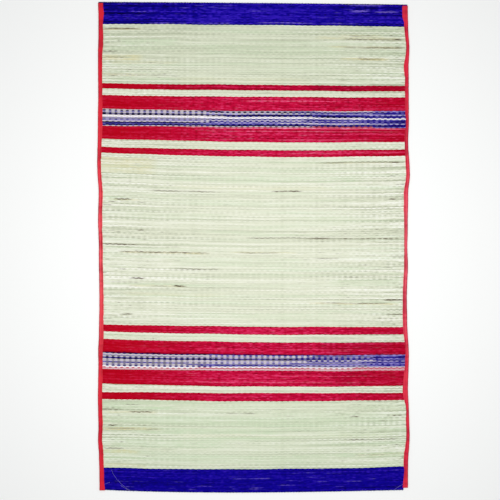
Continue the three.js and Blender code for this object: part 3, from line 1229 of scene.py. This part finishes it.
@dataclass
class WarpStitches:
    """The cotton warp threads where they show: one short stitch over each stalk that passes under them.

    A stitch is a closed lens of five points: two ends that dip between the stalks, two flanks and a crown.
    """

    sheet: WeaveSheet
    length: float = 3.1
    width: float = 0.85
    end_drop: float = 1.9
    flank_height: float = 2.0
    crown_height: float = 2.62
    place_spread: float = 0.12
    length_spread: float = 0.08
    width_spread: float = 0.12
    crown_spread: float = 0.05
    tone_spread: float = 0.1
    straw: str = "E6E5D2"
    crimson: str = "A80430"
    blue: str = "100274"
    mixed: str = "4A4274"

    def part(self, first: int, last: int) -> Surface:
        """Builds the stitches over the stalks from first to last.

        Args:
            first: the first stalk.
            last: the stalk after the last.

        Returns:
            All their lenses, with the thread attribute.
        """
        loom = self.sheet.loom
        rng = np.random.default_rng(SEED + 7 + first)
        warp = loom.warps.astype(float)
        coordinate, _ = self.sheet.rows(first, last, warp)
        ridge = coordinate[1::2]
        stalk, column = np.meshgrid(np.arange(first, last), np.arange(len(warp)), indexing="ij")
        under = (stalk + loom.warps[column]) % 2 == 1
        middle = ridge[stalk - first, column][under]
        number = warp[column[under]]
        y = loom.along(middle, number * WARP_PITCH)
        count = len(y)
        x = loom.across(number, y) + self.place_spread * rng.normal(size=count)
        y = loom.along(middle, x)
        half_length = self.length / 2 * (1 + self.length_spread * rng.normal(size=count))
        half_width = self.width / 2 * (1 + self.width_spread * rng.normal(size=count))
        crown = self.crown_height + self.crown_spread * rng.normal(size=count)
        end, flank = np.full_like(x, self.end_drop), np.full_like(x, self.flank_height)
        lens = np.stack([
            np.stack([x, y + half_length, end], -1),
            np.stack([x - half_width, y, flank], -1),
            np.stack([x, y - half_length, end], -1),
            np.stack([x + half_width, y, flank], -1),
            np.stack([x, y, crown], -1),
        ], 1)
        points_each = lens.shape[1]
        faces = np.array([[0, 1, 4], [1, 2, 4], [2, 3, 4], [3, 0, 4], [0, 2, 1], [0, 3, 2]])
        triangles = (np.arange(len(lens))[:, None, None] * points_each + faces[None]).reshape(-1, 3)
        colour = np.repeat(self.colour(stalk[under], rng), points_each, 0)
        return thread_surface(lens.reshape(-1, 3), np.zeros((0, 4), int), triangles, colour)

    def colour(self, stalk: np.ndarray, rng: np.random.Generator) -> np.ndarray:
        """Gives each stitch the colour of thread in its band: the dye wicks into the thread there.

        Args:
            stalk: the stalk under each stitch.
            rng: the random numbers.

        Returns:
            One linear colour for each stitch.
        """
        names = {Dye.STRAW: self.straw, Dye.CRIMSON: self.crimson, Dye.BLUE: self.blue, Dye.MIXED: self.mixed}
        table = np.array([to_linear(names[band.dye])[:3] for band in BANDS])
        band = np.searchsorted(self.sheet.loom.firsts, stalk, side="right") - 1
        return table[band] * (1 + self.tone_spread * rng.normal(size=(len(stalk), 1)))


@dataclass
class EndThreads:
    """The warp threads past the last stalks, each knotted off round the end stalk and cut short.

    A few at the lower corners have worked loose and lie across the mat. The knot's four lists go from the
    sheet outwards: place past the end stalk, share of the tail's lean, height, and thickness in radii. A
    tail's length is the first of tail_lengths and up to the second more. loose_wave is a loose thread's
    height over its mean and the angle that it goes through.
    """

    loom: Loom
    radius: float = 0.45
    knot_run: tuple = (-2.6, -1.4, 0.1, 0.9, 1.0)
    knot_lean: tuple = (0.0, 0.0, 0.0, 0.2, 1.0)
    knot_height: tuple = (1.9, 2.9, 2.2, 1.2, 0.6)
    knot_girth: tuple = (0.8, 1.1, 1.5, 1.0, 0.7)
    place_spread: float = 0.4
    lean_spread: float = 1.5
    tail_lengths: tuple = (0.2, 1.3)
    pale_share: float = 0.12
    loose_height: float = 3.0
    loose_wave: tuple = (0.5, 9.0)
    loose_radius: float = 0.3
    loose_points: int = 24
    sides: int = 5
    straw: str = "E9E7DA"
    dyed: str = "12085A"
    faded: str = "9A90CC"
    loose: tuple = (
        ((-555.0, -868.0), (-548.0, -893.0), (-521.0, -925.0), (-481.0, -951.0)),
        ((-520.0, -930.0), (-507.0, -936.0), (-494.0, -949.0), (-480.0, -950.0)),
        ((-583.0, -927.0), (-575.0, -921.0), (-566.0, -921.0), (-561.0, -917.0)),
        ((546.0, -950.0), (555.0, -941.0), (570.0, -934.0), (588.0, -921.0)),
    )

    def part(self) -> Surface:
        """Builds the knots with their tails, and the loose threads as Bezier curves.

        Returns:
            All of them with their thread attribute.
        """
        rng = np.random.default_rng(SEED + 3)
        parts = []
        for stalk, out in ((0, 1), (self.loom.count, -1)):
            for warp in self.loom.warps[1:-1]:
                x = warp * WARP_PITCH + self.place_spread * rng.normal()
                run = np.array(self.knot_run)
                run[-1] += self.tail_lengths[0] + self.tail_lengths[1] * rng.random()
                lean = self.lean_spread * rng.normal() * np.array(self.knot_lean)
                y = float(self.loom.along(stalk, x)) + out * run
                path = np.column_stack([x + lean, y, self.knot_height])
                colour = self.straw if rng.random() < self.pale_share else self.dyed
                girth = self.radius * np.array(self.knot_girth)
                parts.append(thread_surface(*tube(path, girth, self.sides), colour))
        t = np.linspace(0, 1, self.loose_points)
        weight = np.stack([(1 - t) ** 3, 3 * t * (1 - t) ** 2, 3 * t * t * (1 - t), t**3], -1)
        height = self.loose_height + self.loose_wave[0] * np.sin(t * self.loose_wave[1])
        for route in self.loose:
            path = np.column_stack([weight @ np.array(route), height])
            girth = np.full(len(t), self.loose_radius)
            parts.append(thread_surface(*tube(path, girth, self.sides), self.faded))
        return Surface.joined(parts)


@dataclass
class TapeBinding:
    """A cotton tape folded over one long side: a fold round the edge and a leg on each face, with two seams.

    The section is an outer and an inner line of matched points, so the ends close with quads between them.
    Depths count from the outer edge towards the middle of the mat. The puckers, the puffs between them and
    the wander of the inner edge each come from a long and a short random wave. A stitch is three rings and
    two tips, and ring_places, ring_drops and tip give where these lie from its middle.
    """

    line: TapeLine
    seed: int
    step: float = 2.0
    thickness: float = 1.0
    slack: float = 0.1
    fold_centre: float = 2.4
    upper_end: float = 2.2
    lower_start: float = 3.5
    over_weave: float = 2.88
    lip_tuck: float = 0.02
    fold_gap: float = 0.1
    lip_drop: tuple = (0.5, 0.15)
    lip_thickness: float = 0.45
    upper_stations: tuple = (1.0, 0.985, 0.95, 0.88, 0.8, 0.7, 0.6, 0.5, 0.4, 0.3, 0.2, 0.12)
    fold_points: int = 9
    lower_points: int = 6
    cap_place: float = 5.0
    stitch_pitch: float = 4.6
    stitch_radius: float = 0.34
    stitch_rise: float = 0.12
    stitch_sides: int = 5
    stitch_spread: float = 0.12
    stitch_end: float = 6.0
    ring_places: tuple = (-1.36, 0.0, 1.36)
    ring_drops: tuple = (0.102, 0.0, 0.102)
    ring_girths: tuple = (0.6, 1.0, 0.6)
    tip: tuple = (1.75, -0.3)
    seam_from_edge: float = 2.6
    second_seam: float = 10.5
    seam_sink: float = 0.5
    seam_width: float = 1.5
    stitch_pull: float = 0.25
    wave_spacings: tuple = (34.0, 9.0)
    crease_waves: tuple = (0.7, 0.5)
    puff_waves: tuple = (0.5, 0.5)
    wander_waves: tuple = (0.35, 0.25)
    pucker_height: float = 0.3
    pucker_length: float = 3.4
    bulge_limits: tuple = (-0.4, 0.3)
    shade_level: float = -0.25
    pucker_shade: float = 0.22
    pucker_limits: tuple = (-1.8, 1.1)
    fold_shade: float = 0.95
    fold_reach: float = 3.7
    seam_shade: float = 0.55
    seam_reach: float = 1.8
    fade_middle: float = -30.0
    fade_reach: float = 340.0
    y: np.ndarray = field(init=False)
    crease: np.ndarray = field(init=False)
    puff: np.ndarray = field(init=False)
    inner_wander: np.ndarray = field(init=False)

    def __post_init__(self) -> None:
        """Draws the tape's puckers along its length."""
        rng = np.random.default_rng(SEED + self.seed)
        first, last = self.line.along.min(), self.line.along.max()
        self.y = np.linspace(last, first, int((last - first) / self.step) + 1)
        waves = np.stack([drift(rng, 3, last - self.y, spacing) for spacing in self.wave_spacings])
        heights = np.array([self.crease_waves, self.puff_waves, self.wander_waves]).T
        self.crease, self.puff, self.inner_wander = (heights[:, :, None] * waves).sum(0)

    def seams(self) -> tuple[np.ndarray, np.ndarray]:
        """Gives the depths of the inner and of the outer seam at every section."""
        shows = self.line.shows_at(self.y)
        return shows - self.seam_from_edge, np.full_like(shows, self.second_seam)

    def top_height(self, depth: np.ndarray) -> np.ndarray:
        """Gives the upper leg's height.

        From its rest height it sinks at each seam by a bell curve, deeper at every stitch, and swells between
        the seams with the puckers.

        Args:
            depth: depths, rows by points.

        Returns:
            Heights above the floor, rows by points.
        """
        height = np.full_like(depth, TAPE_HEIGHT - self.slack)
        near_seam = 0.0
        for seam in self.seams():
            gap = (depth - seam[:, None]) / self.seam_width
            pull = 1 - self.stitch_pull * (1 - np.cos(2 * math.pi * self.y / self.stitch_pitch))
            height = height - self.seam_sink * pull[:, None] * bell(gap)
            near_seam = near_seam + bell(gap / 2)
        wave = self.crease[:, None] * np.sin(depth / self.pucker_length + self.puff[:, None])
        swell = np.clip(self.pucker_height * wave, -self.pucker_height, 1.5 * self.pucker_height)
        return height + swell * np.clip(1 - near_seam, 0, 1)

    def painted_shade_and_fade(self, depth: np.ndarray) -> np.ndarray:
        """Works out how much darker and how much more faded the tape is at each of its points.

        Painted shade darkens it in the puckers' lows and, by bell curves, along the fold and the seams, where
        it also stands for dirt. It is lighter by a broad bell curve about the middle of its length.

        Args:
            depth: distances from the outer edge, rows by points.

        Returns:
            Shares of shade and of fading and a zero, rows by points by three.
        """
        # Painted shade: darker in the puckers' lows, along the fold and along the seams, where it also stands
        # for dirt
        shade = self.shade_level - self.pucker_shade * np.clip(self.crease, *self.pucker_limits)[:, None]
        shade = shade + self.fold_shade * bell(depth / self.fold_reach)
        for seam in self.seams():
            shade = shade + self.seam_shade * bell((depth - seam[:, None]) / self.seam_reach)
        faded = bell((self.y - self.fade_middle) / self.fade_reach)[:, None] + 0 * depth
        return np.stack([shade, faded, 0 * depth], -1)

    def sections(self) -> tuple[np.ndarray, np.ndarray]:
        """Works out the outer and inner line of the section at every station.

        The outer line runs from the upper leg's inner edge to the fold, round it on a half ellipse, and back
        to the lower leg's inner edge. The inner line is the same one thickness further in.

        Returns:
            Two arrays of depth and height, rows by points by two.
        """
        shows = self.line.shows_at(self.y) + self.inner_wander
        rows = np.ones((len(shows), 1))
        depth = self.upper_end + (shows[:, None] - self.upper_end) * np.array(self.upper_stations)[None, :]
        top = self.top_height(depth)
        top[:, :2] -= self.lip_drop
        angle = np.radians(np.linspace(80, -80, self.fold_points))[None, :]
        bulge = np.clip(self.puff / 4, *self.bulge_limits)[:, None]
        fold_depth = self.fold_centre - (self.fold_centre - bulge) * np.cos(angle)
        middle = top[:, -1:] / 2
        fold_height = middle + middle * np.sin(angle)
        lower = np.linspace(self.lower_start, UNDER_LEG, self.lower_points)[None, :] * rows
        outer = np.stack([
            np.concatenate([depth, fold_depth, lower], 1),
            np.concatenate([top, fold_height, 0 * lower], 1),
        ], -1)
        inner_top = np.maximum(top - self.thickness, self.over_weave)
        inner_top[:, 0] = np.maximum(top[:, 0] - self.lip_thickness, self.over_weave - self.lip_tuck)
        inner_radius = self.fold_centre - self.thickness - self.fold_gap
        inner_fold_depth = self.fold_centre - inner_radius * np.cos(angle) * rows
        high, low = inner_top[:, -1:], self.thickness
        inner_fold_height = (high + low) / 2 + (high - low) / 2 * np.sin(angle)
        inner_lower = np.full_like(lower, self.thickness)
        inner_lower[:, -1] = self.lip_thickness
        inner = np.stack([
            np.concatenate([depth, inner_fold_depth, lower], 1),
            np.concatenate([inner_top, inner_fold_height, inner_lower], 1),
        ], -1)
        return outer, inner

    def part(self) -> Surface:
        """Carries the section along the mat's side and closes it.

        Returns:
            The tape with its map in millimetres, its bake map and its attribute of painted shade and fading.
        """
        outer, inner = self.sections()
        ring = np.concatenate([outer, inner[:, ::-1]], 1)
        rows, around = ring.shape[:2]
        x = self.line.side * (self.line.outer_at(self.y)[:, None] - ring[..., 0])
        y = np.repeat(self.y[:, None], around, 1)
        points = np.stack([x, y, ring[..., 1]], -1).reshape(-1, 3)
        numbers = np.arange(rows * around).reshape(rows, around)
        quads = grid_quads(closed(numbers))
        step = np.linalg.norm(np.diff(ring, axis=1, append=ring[:, :1]), axis=-1)
        travel = np.cumsum(step, 1)
        corner_u = np.stack([travel - step, travel - step, travel, travel], -1)[:-1].reshape(-1, 4)
        corner_v = points[quads, 1]
        span = self.y[0] - self.y[-1]
        tape = np.stack([corner_u, corner_v], -1)
        bake = np.stack([corner_u / travel[:, -1].max(), (corner_v - self.y[-1]) / span], -1)
        bake = bake * (1 - 2 * BAKE_MARGIN) + BAKE_MARGIN
        cap = np.arange(around // 2 - 1)
        caps = np.stack([cap, cap + 1, around - 2 - cap, around - 1 - cap], -1)
        caps = np.concatenate([numbers[0][caps], numbers[-1][caps][:, ::-1]])
        if self.line.side > 0:
            quads, tape, bake, caps = quads[:, ::-1], tape[:, ::-1], bake[:, ::-1], caps[:, ::-1]
        faces = np.concatenate([quads, caps])
        none = np.zeros((0, 3, 2))
        return Surface(points, faces, corners={
            "tape": (np.concatenate([tape, np.full((len(caps), 4, 2), self.cap_place)]), none),
            "OFBake": (np.concatenate([bake, np.full((len(caps), 4, 2), BAKE_MARGIN / 2)]), none),
            "painted_shade_and_fade": (self.painted_shade_and_fade(ring[..., 0]).reshape(-1, 3)[faces], np.zeros((0, 3, 3))),
        })

    def stitches(self, colour: str) -> Surface:
        """Builds the seams' stitches, each a small closed spindle sunk into the upper leg.

        Args:
            colour: sRGB hex colour of the thread.

        Returns:
            Both seams' stitches with their thread attribute.
        """
        rng = np.random.default_rng(SEED + self.seed + 1)
        sides = self.stitch_sides
        angle = np.arange(sides) * 2 * math.pi / sides
        girth = self.stitch_radius * np.array(self.ring_girths)[:, None]
        places, drops = np.array(self.ring_places)[:, None], np.array(self.ring_drops)[:, None]
        rings = np.stack([
            girth * np.cos(angle),
            np.repeat(places, sides, 1),
            girth * np.sin(angle) - drops,
        ], -1).reshape(-1, 3)
        reach, height = self.tip
        spindle = np.concatenate([rings, [[0.0, -reach, height], [0.0, reach, height]]])
        numbers = np.arange(3 * sides).reshape(3, sides)
        ahead = np.roll(numbers, -1, 1)
        flanks = grid_quads(closed(numbers))
        tips = np.concatenate([
            np.stack([numbers[0], ahead[0], np.full(sides, 3 * sides)], -1),
            np.stack([ahead[2], numbers[2], np.full(sides, 3 * sides + 1)], -1),
        ])
        places = np.arange(self.y[-1] + self.stitch_end, self.y[0] - self.stitch_end, self.stitch_pitch)
        parts = []
        for seam in self.seams():
            depth = np.interp(places, self.y[::-1], seam[::-1])
            x = self.line.side * (self.line.outer_at(places) - depth)
            x = x + self.stitch_spread * rng.normal(size=len(places))
            height = np.interp(places, self.y[::-1], self.top_height(seam[:, None])[::-1, 0])
            middle = np.column_stack([x, places, height + self.stitch_rise])
            points = (middle[:, None, :] + spindle[None]).reshape(-1, 3)
            starts = np.arange(len(middle))[:, None, None] * len(spindle)
            quads = (starts + flanks[None]).reshape(-1, 4)
            triangles = (starts + tips[None]).reshape(-1, 3)
            parts.append(thread_surface(points, quads, triangles, colour))
        return Surface.joined(parts)


# The woven pieces of the visual model: neighbouring bands of a kind in one piece
WOVEN_PIECES = {
    "weave_blue_ends": ("blue_top", "blue_bottom"),
    "weave_straw_upper": ("straw_upper",),
    "weave_straw_gaps": ("gap_a", "gap_b", "gap_c", "gap_d"),
    "weave_crimson": tuple("crimson_" + letter for letter in "abcdefgh"),
    "weave_mixed": ("mixed_top", "mixed_bottom"),
    "weave_field_upper": ("field_upper",),
    "weave_field_lower": ("field_lower",),
    "weave_straw_lower": ("straw_lower",),
}
STALK_FINISHES = {
    Dye.STRAW: StalkFinish(
        "sedge_sun_dried", "ABB095", "DDE0C9", "FBFAF1", "48300F", "BFD6AE", "D8CE94", gloss=0.25
    ),
    Dye.CRIMSON: StalkFinish(
        "sedge_dyed_crimson", "8C001A", "C4063A", "E63E74", "3A0010", "F0A8C4", "B80010", gloss=0.03
    ),
    Dye.BLUE: StalkFinish(
        "sedge_dyed_blue", "02002E", "0B0090", "3C20C6", "04002A", "A88CF6", "04003C", gloss=0.03
    ),
    Dye.MIXED: StalkFinish(
        "sedge_mixed_blue", "030020", "1C0C86", "A498E0", "FBF6F8", "CCC4CA", "C4163F", gloss=0.05
    ),
}
# The tape on the right is from a slightly pinker piece
TAPE_FINISHES = {
    # The third colour of each is the painted shade colour of the fold, the seams and the puckers' lows
    "binding_left": TapeFinish("cotton_tape_red_left", "E22638", "F65A64", "AC1E2E"),
    "binding_right": TapeFinish("cotton_tape_red_right", "E42E46", "F05E6E", "AC1E36"),
}


@dataclass
class Mat:
    """The whole mat: woven sheet, warp threads, end threads and the two tapes."""

    loom: Loom
    sheet: WeaveSheet
    stitch_pieces: int = 3
    seam_colour: str = "C8283C"

    def weave(self) -> None:
        """Makes the woven sheet, a closed strip for each band."""
        materials = {dye: finish.material() for dye, finish in STALK_FINISHES.items()}
        numbers = {band.name: number for number, band in enumerate(BANDS)}
        for name, bands in WOVEN_PIECES.items():
            surface = Surface.joined([self.sheet.band(numbers[band]) for band in bands])
            piece = surface.make(name, materials[BANDS[numbers[bands[0]]].dye], "sedge_weave")
            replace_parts(piece, "mat_panel")

    def threads(self) -> None:
        """Makes the warp stitches in a few pieces and the end threads in one."""
        material = ThreadFinish("cotton_thread_spun").material()
        stitches = WarpStitches(self.sheet)
        cuts = np.linspace(0, self.loom.count, self.stitch_pieces + 1).astype(int)
        surfaces = {
            f"warp_threads_{k + 1}": stitches.part(cuts[k], cuts[k + 1]) for k in range(self.stitch_pieces)
        }
        surfaces["warp_ends"] = EndThreads(self.loom).part()
        for name, surface in surfaces.items():
            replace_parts(surface.make(name, material, "sedge_weave"), "mat_panel")

    def tapes(self) -> None:
        """Makes each tape with its seams."""
        sewing = ThreadFinish("polyester_sewing_thread", 0.6).material()
        for line, seed in ((self.loom.left, 11), (self.loom.right, 17)):
            binding = TapeBinding(line, seed)
            name = line.node.replace("binding", "tape")
            tape = binding.part().make(name, TAPE_FINISHES[line.node].material(), "red_tape")
            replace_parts(tape, line.node)
            seam = binding.stitches(self.seam_colour).make(name + "_seams", sewing, "red_tape")
            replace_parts(seam, line.node)


@dataclass(frozen=True)
class Studio:
    """A pale floor, even light from all round with one soft lamp above, and the camera straight above."""

    camera_place: tuple = (-0.0139, -0.0106, 4.613)
    lens: float = 85.0
    sensor: float = 36.0
    floor_colour: str = "FAFAF8"
    floor_half: float = 8.0
    floor_drop: float = 0.0004
    sky_colour: tuple = (0.97, 0.985, 1.0, 1.0)
    sky: float = 0.64
    lamp_watts: float = 25.5
    lamp_height: float = 2.2
    lamp_size: float = 1.0

    def place(self, name: str, data: bpy.types.ID, where: tuple = (0.0, 0.0, 0.0)) -> bpy.types.Object:
        """Adds an object to the scene.

        Args:
            name: its name.
            data: its mesh, light or camera.
            where: its place in metres.

        Returns:
            The new object.
        """
        thing = bpy.data.objects.new(name, data)
        thing.location = where
        bpy.context.scene.collection.objects.link(thing)
        return thing

    def build(self) -> None:
        """Adds the camera, the lights and the floor."""
        scene = bpy.context.scene
        scene.view_settings.view_transform = "Standard"
        camera = bpy.data.cameras.new("camera")
        camera.lens = self.lens
        camera.sensor_width = self.sensor
        scene.camera = self.place("camera", camera, self.camera_place)
        world = bpy.data.worlds.new("studio")
        world.use_nodes = True
        backdrop = world.node_tree.nodes["Background"]
        backdrop.inputs[0].default_value = self.sky_colour
        backdrop.inputs[1].default_value = self.sky
        scene.world = world
        lamp = bpy.data.lights.new("lamp", "AREA")
        lamp.energy = self.lamp_watts
        lamp.size = self.lamp_size
        self.place("lamp", lamp, (0.0, 0.0, self.lamp_height))
        mesh = bpy.data.meshes.new("floor")
        corners = [
            (x * self.floor_half, y * self.floor_half, -self.floor_drop)
            for x, y in ((-1, -1), (1, -1), (1, 1), (-1, 1))
        ]
        mesh.from_pydata(corners, [], [(0, 1, 2, 3)])
        nodes, shader = new_material("floor_matt_white", Roughness=0.7)
        shader.inputs["Base Color"].default_value = to_linear(self.floor_colour)
        mesh.materials.append(nodes.material)
        self.place("floor", mesh)


def main() -> None:
    """Builds the studio and the mat."""
    logging.basicConfig(level=logging.INFO, format="%(message)s")
    Studio().build()
    loom = Loom(TapeLine("binding_left", -1, lap=0.7), TapeLine("binding_right", 1, lap=3.6))
    mat = Mat(loom, WeaveSheet(loom, StalkColours(loom)))
    mat.weave()
    mat.threads()
    mat.tapes()


if __name__ == "__main__":
    main()
